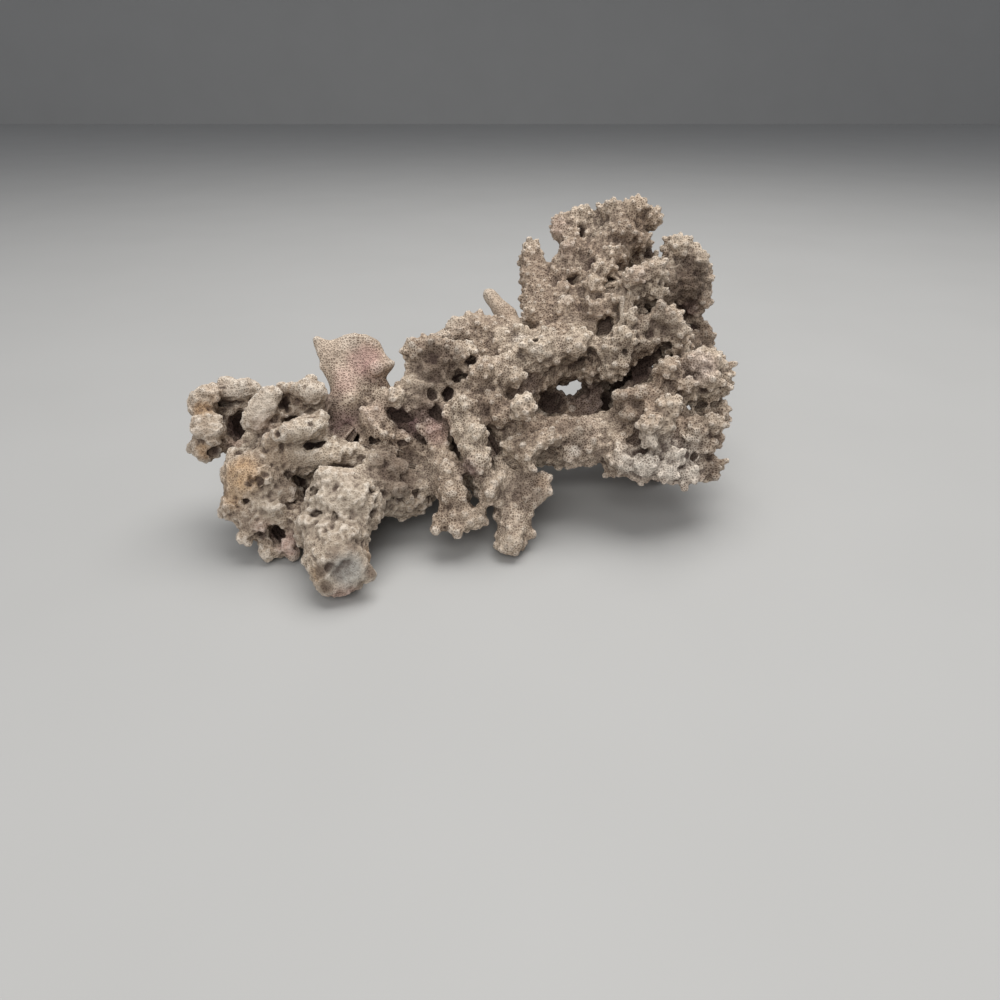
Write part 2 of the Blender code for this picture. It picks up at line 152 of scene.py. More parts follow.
# How rough the old rock is, the size of its crumbs and of the grain all over, how far apart the
# florets are elsewhere, how deep the seams between florets are, how wide they are as a share of
# the florets' spacing, and how high the grain is. All but that share are in millimetres.
ROUGH = {"base": 0.85, "left_lobes": 0.7, "tuft": 0.5}
CRUMB = 6.5
GRAIN = 1.9
FLORET = 2.7
SEAM_DEPTH = 0.35
SEAM_WIDTH = 0.4
FINE = 0.15

# Knobs that the furrows leave standing on each part: how far apart they are and how deep the
# furrows are, in millimetres. The skin between furrows goes in a little too, and a furrow is as
# wide as a share of the knobs' spacing.
SETTLE_IN = 0.7
FURROW_WIDTH = 0.42
KNOBS = {
    "base": (9, 1.3),
    "left_lobes": (8, 1.2),
    "trunk": (8.5, 2.4),
    "tuft": (4.6, 2.8),
    "finger": (6.5, 1.8),
    "left_branch": (6.5, 2.2),
    "top_branch": (6.5, 2.4),
    "upper_right_branch": (7, 2.6),
    "middle_branch": (7.5, 2.8),
    "right_branch": (7.5, 2.8),
    "front_limb": (9, 1.8),
    "front_knob": (6, 1.2),
    "side_lobe": (7.5, 2.6),
    "bottom_lobe": (7.5, 2.6),
    "drooping_branch": (7.5, 1.8),
    "front_finger": (7, 1.4),
    "lowest_branch": (8, 1.8),
    "knobbly_finger": (6.5, 1.6),
    "inner_limb": (8.5, 2.4),
    "back_foot": (8.5, 2.2),
    "back_branch": (7.5, 2.6),
    "back_right_branch": (7.5, 2.6),
}

# Lumps on the skin: across and down in the picture, half width, half height in picture units, the
# turn anticlockwise in degrees, how far it stands out and its half depth in millimetres, and where
# the lump lies past the outline, the across and down of the skin that it is level with. A lump that
# stands out by less than nothing closes a gap from behind.
LUMPS = [
    (240, 388, 23, 10, -3, 2.5, 3.5),
    (226, 383, 8, 6, 20, 3, 3),
    (252, 386, 8, 6, -20, 3, 3),
    (205, 396, 15, 11, 30, 3, 4),
    (198, 408, 10, 6, 20, 2.5, 3.5),
    (212, 417, 9, 6, -30, 2.5, 3.5),
    (201, 427, 10, 13, 10, 2.5, 4),
    (213, 433, 8, 14, -20, 2.5, 4),
    (205, 417, 10, 6, 0, 2, 4),
    (202, 450, 14, 11, -10, 2, 5),
    (264, 409, 27, 13, 52, 4.5, 3.5),
    (256, 424, 11, 9, 0, 4, 3.5),
    (288, 387, 9, 3, 55, 0.5, 1.5, 280, 393),
    (311, 391, 17, 12, -5, 4, 6),
    (297, 431, 27, 10, 12, 5, 5),
    (270, 441, 9, 7, 20, 3, 4),
    (232, 506, 13, 6, -15, 2, 4),
    (262, 478, 14, 10, 0, 2.5, 5),
    (284, 492, 13, 8, 10, 3, 5),
    (272, 508, 16, 7, -10, 2.5, 5),
    (330, 478, 19, 11, -15, 2, 6),
    (350, 497, 19, 14, 0, 1.5, 6),
    (322, 500, 9, 5, -30, 1.5, 4),
    (335, 537, 26, 12, 15, 1.5, 7),
    (308, 525, 15, 12, 0, 1.2, 6),
    (290, 546, 6, 13, 10, 2.5, 4),
    (268, 550, 10, 8, 0, 2, 4),
    (262, 528, 12, 6, 10, 2, 4),
    (372, 462, 11, 13, 0, 2.5, 5),
    (392, 470, 14, 10, 20, 2, 5),
    (385, 448, 14, 8, -20, 2.5, 5),
    (345, 451, 18, 7, 5, 2.5, 5),
    (395, 490, 14, 8, 10, 2.5, 5),
    (352, 339, 9, 5, 0, 1, 2.5),
    (345, 336, 4, 3.4, 0, 0.5, 1.8, 345, 342),
    (354, 334, 4.5, 3, 0, 0.5, 1.8, 354, 341),
    (363, 335, 5, 3, 0, 0.5, 1.8, 362, 341),
    (374, 345, 3, 4, 0, 0.5, 1.8, 370, 350),
    (383, 356, 4, 4, 0, 0.5, 1.8, 378, 359),
    (377, 368, 9, 8, 30, 2.5, 2.5),
    (318, 352, 3.4, 4, 0, 0.5, 1.8, 322, 354),
    (321, 366, 3.4, 5, 0, 0.5, 1.8, 326, 367),
    (368, 342, 5, 7, 20, 0.5, 2, 366, 350),
    (381, 366, 10, 7, 40, 1.5, 2.5),
    (391, 363, 5, 4, 0, 1, 2, 385, 366),
    (316, 339, 5, 5, 0, 0.5, 2, 322, 345),
    (396, 397, 9, 9, 0, 4, 4.5),
    (372, 414, 14, 9, 20, 3, 5),
    (362, 426, 8, 7, 0, 2.5, 4),
    (384, 434, 13, 7, -20, 3, 5),
    (409, 434, 7, 5, 10, 2.5, 3),
    (407, 441, 8, 3, -10, 2, 3),
    (432, 430, 16, 10, -15, 3, 6),
    (425, 402, 11, 8, 0, 2, 4),
    (415, 352, 8, 6, 20, 2.5, 4),
    (407, 346, 6, 5, 20, 1, 2.5, 414, 351),
    (434, 346, 9, 6, 0, 3, 4),
    (440, 362, 10, 5, 0, 3, 4),
    (461, 357, 8, 10, 0, 3.5, 5),
    (428, 372, 9, 6, -30, 2, 4),
    (505, 337, 7, 6, 0, 3, 3.5),
    (520, 329, 6, 6, 0, 3, 3),
    (494, 347, 4, 8, 0, 2, 3),
    (524, 347, 4, 4, 0, 2.5, 2),
    (541, 352, 9, 4, -15, 2, 2.5),
    (508, 358, 9, 6, 0, 2, 4),
    (485, 371, 12, 9, 0, 3, 5),
    (513, 377, 12, 10, 0, 3, 5),
    (465, 405, 12, 9, 0, 3, 5),
    (490, 400, 12, 9, 0, 2.5, 5),
    (524, 407, 12, 13, 0, 5, 6),
    (500, 418, 12, 8, 0, 2.5, 5),
    (447, 414, 5, 8, 0, 3, 3),
    (475, 432, 11, 9, 0, 3, 5),
    (466, 447, 6, 8, 20, 2, 4),
    (478, 462, 9, 12, 0, 2.5, 4.5),
    (446, 470, 9, 12, 5, 2, 4.5),
    (450, 493, 10, 12, -15, 2, 4.5),
    (437, 527, 6, 8, -20, 1.5, 3.5),
    (456, 530, 7, 7, 0, 2, 3.5),
    (470, 522, 7, 7, 0, 1.5, 3.5),
    (482, 520, 6, 6, 0, 1.5, 3.5),
    (491, 490, 6, 13, -20, 2.5, 3.5),
    (502, 477, 5, 6, 0, 2, 3),
    (511, 545, 12, 11, 0, 2, 5),
    (527, 533, 7, 8, 0, 1.5, 4),
    (535, 494, 17, 12, 35, 2, 4),
    (545, 480, 7, 8, 0, 1, 3, 539, 484),
    (526, 452, 8, 12, 10, 3, 4.5),
    (531, 468, 5, 6, 0, 2, 3),
    (540, 443, 8, 7, 20, 3, 4),
    (550, 436, 7, 7, 0, 3, 4),
    (510, 446, 8, 8, 0, 2, 4),
    (575, 434, 12, 8, 0, 2, 4),
    (570, 452, 10, 9, 0, 2, 4),
    (590, 445, 9, 9, 0, 2, 5),
    (573, 464, 7, 5, 0, 1.5, 3),
    (572, 347, 13, 9, -20, 4, 5),
    (535, 312, 12, 12, 0, 3, 5),
    (565, 310, 12, 13, 0, 3, 5),
    (563, 290, 8, 7, 0, 2.5, 4),
    (594, 286, 10, 10, 20, 4, 5.5),
    (594, 312, 9, 15, 25, 3, 5.5),
    (560, 228, 9, 11, 0, 2, 4),
    (584, 213, 9, 7, 0, 2, 4),
    (570, 250, 10, 12, 0, 2.5, 5),
    (575, 275, 9, 8, 0, 2, 4),
    (612, 210, 12, 9, 0, 3.5, 6),
    (636, 207, 13, 9, 0, 3.5, 6),
    (652, 218, 10, 9, 0, 3.5, 6),
    (625, 232, 13, 9, 0, 4, 6),
    (612, 255, 12, 9, 20, 4, 6),
    (640, 240, 11, 7, 0, 3, 5),
    (595, 268, 9, 9, 0, 3.5, 6),
    (634, 279, 14, 9, 20, 5.5, 6),
    (655, 270, 11, 11, 0, 4, 6),
    (652, 291, 14, 7, -10, 4, 6),
    (625, 300, 14, 9, 10, 4, 6),
    (680, 248, 12, 12, 0, 4, 6),
    (698, 262, 10, 12, 0, 3.5, 6),
    (690, 285, 12, 12, 0, 3, 6),
    (702, 300, 9, 9, 0, 3, 6),
    (630, 318, 5, 9, 0, 3.5, 4.5, 632, 328),
    (645, 325, 5, 7, 0, 3.5, 4.5, 645, 335),
    (660, 315, 6, 10, 0, 4, 5, 662, 326),
    (672, 322, 6, 8, -20, 4, 5, 670, 330),
    (682, 331, 6, 8, -20, 3.5, 5, 676, 335),
    (624, 338, 11, 10, 0, 4, 6),
    (648, 343, 12, 8, 10, 4, 6),
    (608, 350, 9, 10, 0, 4, 5.5),
    (620, 365, 11, 8, 20, 4, 6),
    (672, 345, 11, 8, 0, 3.5, 6),
    (590, 370, 9, 10, 0, 3, 5),
    (666, 370, 11, 10, 0, 5.5, 6),
    (695, 362, 12, 11, 0, 5, 6),
    (713, 363, 10, 10, 0, 4, 6),
    (708, 380, 13, 9, -20, 5, 6),
    (686, 385, 12, 6, 0, 4, 5),
    (726, 382, 6, 11, 0, 1.5, 5),
    (622, 397, 10, 8, 0, 4, 5.5),
    (640, 394, 9, 8, 0, 4, 5.5),
    (630, 415, 10, 8, 0, 3, 5.5),
    (667, 408, 13, 11, 20, 7, 6.5),
    (648, 424, 12, 8, 30, 7, 6),
    (662, 425, 12, 9, 0, 5.5, 6),
    (650, 440, 8, 8, 0, 4, 5.5),
    (711, 425, 12, 10, 0, 4, 6),
    (695, 434, 12, 10, 0, 4, 6),
    (722, 410, 8, 8, 0, 2, 5),
    (705, 445, 12, 8, 0, 3.5, 6),
    (676, 307, 13, 9, -30, -6, 6, 672, 322),
    (627, 266, 9, 7, 0, -5, 5, 640, 262),
    (648, 364, 14, 9, 30, -6, 6, 648, 343),
    (617, 440, 10, 9, -20, 4, 5.5),
    (622, 462, 9, 12, 20, 4, 5.5),
    (645, 465, 14, 10, 0, 4, 6),
    (665, 472, 14, 10, -10, 4, 6),
    (688, 474, 12, 9, 0, 4, 6),
    (676, 456, 14, 8, 0, 3.5, 6),
    (712, 470, 7, 10, 0, 2, 5),
]

# Gaps between branches: across, down, half width, half height, turn, and depth in millimetres.
GAPS = [
    (236, 424, 10, 17, 0, 13),
    (347, 570, 19, 13, 38, 1.5),
    (284, 404, 6, 10, 15, 6),
    (313, 444, 13, 4.5, 12, 12),
    (351, 436, 6, 14, 35, 16),
    (299, 480, 12, 4, -60, 7),
    (305, 492, 4, 7, 0, 7),
    (345, 466, 18, 3.4, -8, 8),
    (277, 533, 8, 11, 10, 11),
    (401, 416, 15, 7, -20, 9),
    (404, 429, 9, 3, -15, 7),
    (447, 393, 6, 8, 0, 10),
    (459, 377, 10, 5, 10, 9),
    (434, 360, 12, 2.6, -10, 6),
    (471, 361, 5, 8, 0, 8),
    (492, 442, 6, 18, 28, 12),
    (471, 490, 6, 20, 15, 13),
    (456, 445, 5, 17, 5, 8),
    (512, 463, 11, 4, -35, 8),
    (553, 401, 18, 14, 0, 11),
    (566, 384, 11, 3.4, 15, 30),
    (608, 402, 7, 15, 0, 16),
    (622, 386, 15, 10, 25, 10),
    (642, 367, 23, 10, 38, 9),
    (660, 350, 8, 4, 20, 12),
    (606, 328, 9, 16, -15, 10),
    (611, 283, 6, 14, -15, 12),
    (626, 265, 14, 5, 20, 6.5),
    (650, 252, 9, 5, 40, 5.5),
    (592, 262, 3, 10, -30, 10),
    (581, 232, 3, 9, 0, 10),
    (574, 279, 8, 5, 15, 7),
    (648, 310, 14, 5, -5, 9),
    (681, 312, 13, 6, -35, 8),
    (694, 327, 5, 6, 0, 5),
    (704, 389, 10, 3, -25, 4),
    (604, 467, 4, 9, 35, 6),
    (618, 350, 2.5, 8, 20, 5),
    (650, 335, 2.5, 9, 10, 5),
    (640, 452, 12, 2.4, 15, 5),
    (688, 455, 10, 3, 10, 6),
]

# What keeps the least holes open on the skin's grid, in picture units, and the depth in
# millimetres past which a hole gets painted shade inside.
LEAST_HOLE = 1.8
HOLE_EXTRA = 1.0
SHALLOW = 2.4

# The ragged walls of a hollow: each wave's size and height in millimetres.
WALL_WAVES = ((3.4, 0.9), (1.3, 0.4))

# Smaller holes, slits and pits, in the same way, cut once the warts are on.
HOLES = [
    (228, 403, 20, 2, 2, 4),
    (214, 452, 9, 5, -25, 2.5),
    (291, 420, 8, 3.6, 18, 6),
    (311, 424, 3, 3.6, 0, 2.5),
    (277, 435, 3.5, 4, 0, 2),
    (305, 388, 2, 3, 0, 1.5),
    (240, 452, 7, 5, 20, 4),
    (257, 482, 4.5, 4.5, 0, 4),
    (265, 474, 5, 2.5, 30, 2.5),
    (249, 484, 1.8, 9, -5, 3),
    (246, 501, 5, 2.4, 35, 3.5),
    (288, 474, 5, 4, 0, 3),
    (314, 491, 5.5, 3.6, -5, 6),
    (316, 513, 8, 3, 8, 4),
    (335, 517, 2.8, 6, 10, 4.5),
    (325, 531, 5, 1.4, 20, 2.5),
    (332, 486, 1.4, 1.4, 0, 2),
    (344, 521, 1.4, 1.4, 0, 2),
    (339, 527, 1.4, 1.4, 0, 2),
    (351, 518, 1.4, 1.4, 0, 2),
    (354, 530, 1.4, 1.4, 0, 2),
    (317, 483, 1.6, 1.4, 0, 2),
    (376, 502, 2, 2, 0, 3),
    (372, 492, 4.5, 3.6, -20, 5),
    (384, 494, 8, 3, 0, 2.5),
    (399, 500, 9, 1.6, -30, 3.5),
    (416, 493, 2.5, 5, -25, 5),
    (374, 513, 6, 6, 0, 2),
    (360, 460, 4, 7, 15, 3),
    (386, 464, 4, 4, 30, 2.5),
    (330, 567, 6, 4.5, 0, 2.5),
    (372, 440, 2, 5, 20, 3),
    (379, 441, 4, 1.6, 0, 2.5),
    (403, 443, 5, 2, 0, 3),
    (262, 535, 6, 6, 0, 3),
    (422, 439, 12, 2.4, -28, 4),
    (432, 395, 4, 6, 0, 3),
    (436, 413, 6, 8, 30, 4),
    (591, 352, 3.4, 3.2, 0, 7),
    (667, 345, 5, 2.4, -30, 4),
    (694, 456, 3, 4, -10, 4),
    (535, 340, 3, 2.6, 0, 4),
]


def spot(across, down, behind):
    """The place of the coral at across and down in the picture, behind millimetres past its plane."""
    sideways = RIGHT * (across - PICTURE_MIDDLE) + ABOVE * (PICTURE_MIDDLE - down)
    return EYE + (AHEAD + sideways / PICTURE_FOCAL) * (NEAR + behind * MM)


# Meshes.


def places_of(mesh):
    flat = np.empty(len(mesh.vertices) * 3, dtype=np.float32)
    mesh.vertices.foreach_get("co", flat)
    return flat.reshape(-1, 3).astype(float)


def centres_of(mesh):
    flat = np.empty(len(mesh.polygons) * 3)
    mesh.polygons.foreach_get("center", flat)
    return flat.reshape(-1, 3)


def normals_of(mesh):
    flat = np.empty(len(mesh.vertices) * 3, dtype=np.float32)
    mesh.vertex_normals.foreach_get("vector", flat)
    return flat.reshape(-1, 3).astype(float)


def put_places(mesh, places):
    mesh.vertices.foreach_set("co", places.astype(np.float32).ravel())
    mesh.update()


def object_of(name, bm):
    mesh = bpy.data.meshes.new(name)
    bm.to_mesh(mesh)
    bm.free()
    obj = bpy.data.objects.new(name, mesh)
    bpy.context.scene.collection.objects.link(obj)
    return obj


def apply_modifiers(obj):
    graph = bpy.context.evaluated_depsgraph_get()
    mesh = bpy.data.meshes.new_from_object(obj.evaluated_get(graph))
    obj.modifiers.clear()
    old = obj.data
    obj.data = mesh
    bpy.data.meshes.remove(old)


def fuse(obj, voxel, share, passes):
    """Makes the overlapping shells one closed skin, and softens it."""
    remesh = obj.modifiers.new("fuse", "REMESH")
    remesh.mode = "VOXEL"
    remesh.voxel_size = voxel
    soften = obj.modifiers.new("soften", "SMOOTH")
    soften.factor = share
    soften.iterations = passes
    apply_modifiers(obj)


def tree_of(obj):
    return BVHTree.FromObject(obj, bpy.context.evaluated_depsgraph_get())


def level_of(obj, passes):
    """Where the skin's points would lie once it was evened out."""
    copy = obj.copy()
    copy.data = obj.data.copy()
    bpy.context.scene.collection.objects.link(copy)
    soften = copy.modifiers.new("soften", "SMOOTH")
    soften.factor = 0.6
    soften.iterations = passes
    apply_modifiers(copy)
    places = places_of(copy.data)
    bpy.data.objects.remove(copy)
    return places


def grow_balls(bm, matrices, fineness):
    """Adds a ball for each matrix, a batch at a time, because a small mesh takes them faster."""
    for start in range(0, len(matrices), BATCH):
        batch = bmesh.new()
        for matrix in matrices[start : start + BATCH]:
            bmesh.ops.create_icosphere(batch, subdivisions=fineness, radius=1, matrix=matrix)
        mesh = bpy.data.meshes.new("balls")
        batch.to_mesh(mesh)
        batch.free()
        bm.from_mesh(mesh)
        bpy.data.meshes.remove(mesh)


def whole_of(nodes):
    """All the parts in one object, and the part that each of its faces belongs to."""
    bm = bmesh.new()
    owners = []
    for index, node in enumerate(nodes.values()):
        bm.from_mesh(node.data)
        owners += [index] * (len(bm.faces) - len(owners))
    return object_of("parts", bm), np.array(owners)


def make_body(nodes):
    """The colony's rough body: one skin over all the parts, without its lumps, holes and warts."""
    bm = bmesh.new()
    for node in nodes.values():
        part = bmesh.new()
        part.from_mesh(node.data)
        bmesh.ops.remove_doubles(part, verts=part.verts, dist=SAME_CORNER)
        part.normal_update()
        for vert in part.verts:
            vert.co += vert.normal * SWELL * MM
        mesh = bpy.data.meshes.new("swollen")
        part.to_mesh(mesh)
        part.free()
        bm.from_mesh(mesh)
        bpy.data.meshes.remove(mesh)
    body = object_of("body", bm)
    fuse(body, CORE_VOXEL, 0.6, 7)
    return body


def met(tree, across, down):
    """The place where the line of sight at across and down meets the body."""
    way = (spot(across, down, 0) - EYE).normalized()
    return tree.ray_cast(EYE, way)[0]


def oval(centre, half_width, half_height, half_depth, tilt):
    """A ball drawn out to those half sizes in metres, turned anticlockwise by tilt in the picture."""
    turned = Matrix.Rotation(math.radians(-tilt), 3, AHEAD)
    sides = (turned @ RIGHT * half_width, AHEAD * half_depth, turned @ ABOVE * half_height)
    return Matrix.Translation(centre) @ Matrix(sides).transposed().to_4x4()


def furrow(core, part, names, tree):
    """Draws the skin in along the borders between knobs, so that each knob stands round."""
    mesh = core.data
    places = places_of(mesh)
    moves = np.zeros(len(places))
    for index, place in enumerate(places):
        apart, depth = KNOBS.get(names[part[index]], (1, 0))
        if depth:
            near, second = noise.voronoi(Vector(place) / (apart * MM))[0][:2]
            moves[index] = SETTLE_IN + depth * (1 - min((second - near) / FURROW_WIDTH, 1)) ** 2
    for place, radius in smooth_spots(tree):
        away = np.linalg.norm(places - np.array(place), axis=1) / radius
        moves *= np.clip(away * 2 - 1, 0, 1)
    put_places(mesh, places - normals_of(mesh) * moves[:, None] * MM)


def smooth_spots(tree):
    """The middle and the radius of each stretch of skin that has no knobs or warts."""
    for across, down, radius in SMOOTH:
        found = met(tree, across, down)
        if found:
            yield found, radius * MM


def add_lumps(body):
    """Adds the lumps that the picture shows, each on the skin behind it."""
    tree = tree_of(body)
    ovals = []
    for across, down, half_width, half_height, tilt, rise, half_depth, *aim in LUMPS:
        found = met(tree, *(aim or (across, down)))
        if not found:
            continue
        away = (found - EYE).dot(AHEAD)
        centre = EYE + (spot(across, down, 0) - EYE) * away / NEAR
        size = away / PICTURE_FOCAL
        centre += AHEAD * (half_depth - 1.4 * rise) * MM
        ovals.append(oval(centre, half_width * size, half_height * size, half_depth * MM, tilt))
    bm = bmesh.new()
    bm.from_mesh(body.data)
    grow_balls(bm, ovals, LUMP_FINENESS)
    lumpy = object_of("lumpy", bm)
    bpy.data.objects.remove(body)
    fuse(lumpy, CORE_VOXEL, 0.5, 1)
    return lumpy


def ragged(place):
    """How far a hollow's wall strays, in millimetres."""
    return sum(high * noise.noise(Vector(place) / (wide * MM)) for wide, high in WALL_WAVES)


def cut_out(body, tree, rows):
    """Cuts a ragged hollow into the skin at each row's place in the picture."""
    ovals = []
    for across, down, half_width, half_height, tilt, depth in rows:
        half_width = max(half_width, LEAST_HOLE) + HOLE_EXTRA
        half_height = max(half_height, LEAST_HOLE) + HOLE_EXTRA
        found = met(tree, across, down)
        if not found:
            continue
        size = (found - EYE).dot(AHEAD) / PICTURE_FOCAL
        ovals.append(oval(found, half_width * size, half_height * size, depth * MM, tilt))
    bm = bmesh.new()
    grow_balls(bm, ovals, LUMP_FINENESS)
    hollows = object_of("hollows", bm)
    fuse(hollows, HOLLOW_VOXEL, 0, 0)
    places = places_of(hollows.data)
    moves = np.array([ragged(place) for place in places])
    put_places(hollows.data, places + normals_of(hollows.data) * moves[:, None] * MM)
    cut = body.modifiers.new("cut", "BOOLEAN")
    cut.operation = "DIFFERENCE"
    cut.solver = "MANIFOLD"
    cut.object = hollows
    apply_modifiers(body)
    bpy.data.objects.remove(hollows)


def scattered(core, owner, apart_of, tree):
    """Places all over the core, as (point, normal, part), kept apart as far as CELL allows."""
    bare = list(smooth_spots(tree))
    chance = random.Random(7)
    mesh = core.data
    areas = np.empty(len(mesh.polygons))
    mesh.polygons.foreach_get("area", areas)
    centres = centres_of(mesh)
    order = chance.choices(range(len(areas)), weights=areas, k=WART_PLACES)
    cell = CELL * MM
    filled = {}
    kept = []
    for index in order:
        part = owner[index]
        apart = apart_of[part]
        if not apart:
            continue
        point = centres[index]
        key = tuple(int(math.floor(c / cell)) for c in point)
        near = False
        for dx in (-1, 0, 1):
            for dy in (-1, 0, 1):
                for dz in (-1, 0, 1):
                    for other in filled.get((key[0] + dx, key[1] + dy, key[2] + dz), ()):
                        gap = (
                            (other[0] - point[0]) ** 2
                            + (other[1] - point[1]) ** 2
                            + (other[2] - point[2]) ** 2
                        )
                        if gap < apart * apart:
                            near = True
        if near or any((Vector(point) - place).length < radius for place, radius in bare):
            continue
        filled.setdefault(key, []).append(point)
        kept.append((Vector(point), mesh.polygons[index].normal.copy(), part))
    return kept


def add_warts(core, places):
    """Grows a wart at each place, longer on ridges and tips, leaning the way that its part grows."""
    chance = random.Random(11)
    names = list(NODES)
    slack = core.copy()
    slack.data = core.data.copy()
    bpy.context.scene.collection.objects.link(slack)
    fuse(slack, SLACK_VOXEL, 0.6, 16)
    slack_tree = tree_of(slack)
    matrices = []
    for point, normal, part in places:
        _, thick, long, growth = WARTS[names[part]]
        level, _, _, _ = slack_tree.find_nearest(point)
        bulge = (point - level).dot(normal) / MM
        way = (normal + WART_LEAN * Vector(growth).normalized()).normalized()
        if way.dot(normal) < 0.5:
            way = normal
        radius = thick * MM * chance.uniform(*WART_THICK)
        rise = long * MM * chance.uniform(*WART_LONG) * min(max(0.8 + 0.4 * bulge, 0.5), 1.35)
        half = max(radius, rise * 0.9)
        matrices.append(
            Matrix.Translation(point + way * (rise - half))
            @ way.to_track_quat("Z", "Y").to_matrix().to_4x4()
            @ Matrix.Diagonal((radius, radius, half, 1))
        )
    bm = bmesh.new()
    bm.from_mesh(core.data)
    grow_balls(bm, matrices, WART_FINENESS)
    bpy.data.objects.remove(slack)
    return object_of("skin", bm)


def crumble(skin, part, names, tree):
    """Roughens the skin: in ragged crumbs on the old rock, and in small florets elsewhere."""
    mesh = skin.data
    places = places_of(mesh)
    normals = normals_of(mesh)
    moves = np.empty(len(places))
    for index, place in enumerate(places):
        name = names[part[index]]
        grain = noise.noise(Vector(place) / (GRAIN * MM))
        if name in ROUGH:
            crumbs = 1.1 - 2.2 * noise.turbulence(Vector(place) / (CRUMB * MM), 3, True)
            moves[index] = (grain + crumbs) * ROUGH[name]
        elif name in WARTS:
            near, second = noise.voronoi(Vector(place) / (FLORET * MM))[0][:2]
            seam = (1 - min((second - near) / SEAM_WIDTH, 1)) ** 2
            moves[index] = FINE * grain - SEAM_DEPTH * seam
        else:
            moves[index] = FINE * grain
    for place, radius in smooth_spots(tree):
        away = np.linalg.norm(places - np.array(place), axis=1) / radius
        moves *= 0.5 + 0.5 * np.clip(away * 2 - 1, 0, 1)
    places += normals * moves[:, None] * MM
    places[:, 2] = np.maximum(places[:, 2], 0)
    put_places(mesh, places)


def nearest_part(places, tree, owners):
    return np.array([owners[tree.find_nearest(Vector(p))[2]] for p in places])


# Finishes.


class Wire:
    """A value on its way through a finish. Sums on it add Math nodes."""

    def __init__(self, finish, socket):
        self.finish = finish
        self.socket = socket

    def math(self, operation, first, second):
        return self.finish.node("ShaderNodeMath", {"operation": operation}, {0: first, 1: second})

    def __add__(self, other):
        return self.math("ADD", self, other)

    def __sub__(self, other):
        return self.math("SUBTRACT", self, other)

    def __mul__(self, other):
        return self.math("MULTIPLY", self, other)

    def __rsub__(self, other):
        return self.math("SUBTRACT", other, self)

    __radd__ = __add__

    def at_least(self, low):
        return self.math("MAXIMUM", self, low)

    def between(self, low, high):
        """0 at low, 1 at high, with a soft start and end."""
        settings = {"interpolation_type": "SMOOTHSTEP"}
        sockets = {"Value": self, "From Min": low, "From Max": high}
        return self.finish.node("ShaderNodeMapRange", settings, sockets)


class Finish:
    """One material and the nodes that make it."""

    def __init__(self, name):
        self.material = bpy.data.materials.new(name)
        self.material.use_nodes = True
        self.tree = self.material.node_tree
        self.shader = self.tree.nodes["Principled BSDF"]

    def put(self, socket, value):
        if isinstance(value, Wire):
            self.tree.links.new(value.socket, socket)
        else:
            socket.default_value = value

    def node(self, kind, settings, sockets, out=0):
        node = self.tree.nodes.new(kind)
        for key, value in settings.items():
            setattr(node, key, value)
        for key, value in sockets.items():
            self.put(node.inputs[key], value)
        return Wire(self, node.outputs[out])

    def mix(self, share, first, second):
        settings = {"data_type": "RGBA"}
        return self.node("ShaderNodeMix", settings, {0: share, 6: first, 7: second}, out=2)

    def darken(self, colour, share, depth):
        settings = {"data_type": "RGBA", "blend_type": "MULTIPLY"}
        return self.node("ShaderNodeMix", settings, {0: share, 6: colour, 7: depth}, out=2)

    def attribute(self, name):
        return self.node("ShaderNodeAttribute", {"attribute_name": name}, {}, out=2)

    def place(self):
        return self.node("ShaderNodeTexCoord", {}, {}, out=3)

    def noise(self, place, scale, detail, roughness=0.5):
        sockets = {"Vector": place, "Scale": scale, "Detail": detail, "Roughness": roughness}
        return self.node("ShaderNodeTexNoise", {}, sockets)

    def walls(self, place, scale):
        """How far a point is from the walls of a honeycomb."""
        settings = {"feature": "DISTANCE_TO_EDGE"}
        sockets = {"Vector": place, "Scale": scale, "Randomness": 0.85}
        return self.node("ShaderNodeTexVoronoi", settings, sockets)


# How many of each of the finish's patterns lie along a metre: wide patches of tone, blushes, worn
# places, lumps, grains, and the polyps' pits, which are larger in a few places.
PATCHES = 34
BLUSHES = 17
WORN_PLACES = 75
LUMPINESS = 240
GRAINS = 1900
PITS = 900
LARGE_PITS = 620

CREAM = (0.70, 0.585, 0.46, 1)
BEIGE = (0.48, 0.37, 0.28, 1)
# The furrows' darkest brown, used also as painted shade in furrows, hollows and holes.
VALLEY_BROWN_AND_SHADE = (0.10, 0.068, 0.056, 1)
# Pale of worn tips and bleached spots, used also as painted highlight and painted light.
PALE_AND_HIGHLIGHT = (0.86, 0.775, 0.675, 1)
PINK = (0.60, 0.36, 0.33, 1)
RUST = (0.60, 0.36, 0.17, 1)
# Dark purple of stains, used also as painted shade.
PURPLE_AND_SHADE_TONE = (0.17, 0.10, 0.10, 1)
# Brown of stains, used also as painted shade.
BROWN_AND_SHADE_TONE = (0.19, 0.14, 0.105, 1)
CHALK = (0.46, 0.39, 0.31, 1)
GREY = (0.42, 0.40, 0.365, 1)
PIT = (0.30, 0.245, 0.215, 1)
SOOT = (0.62, 0.58, 0.54, 1)


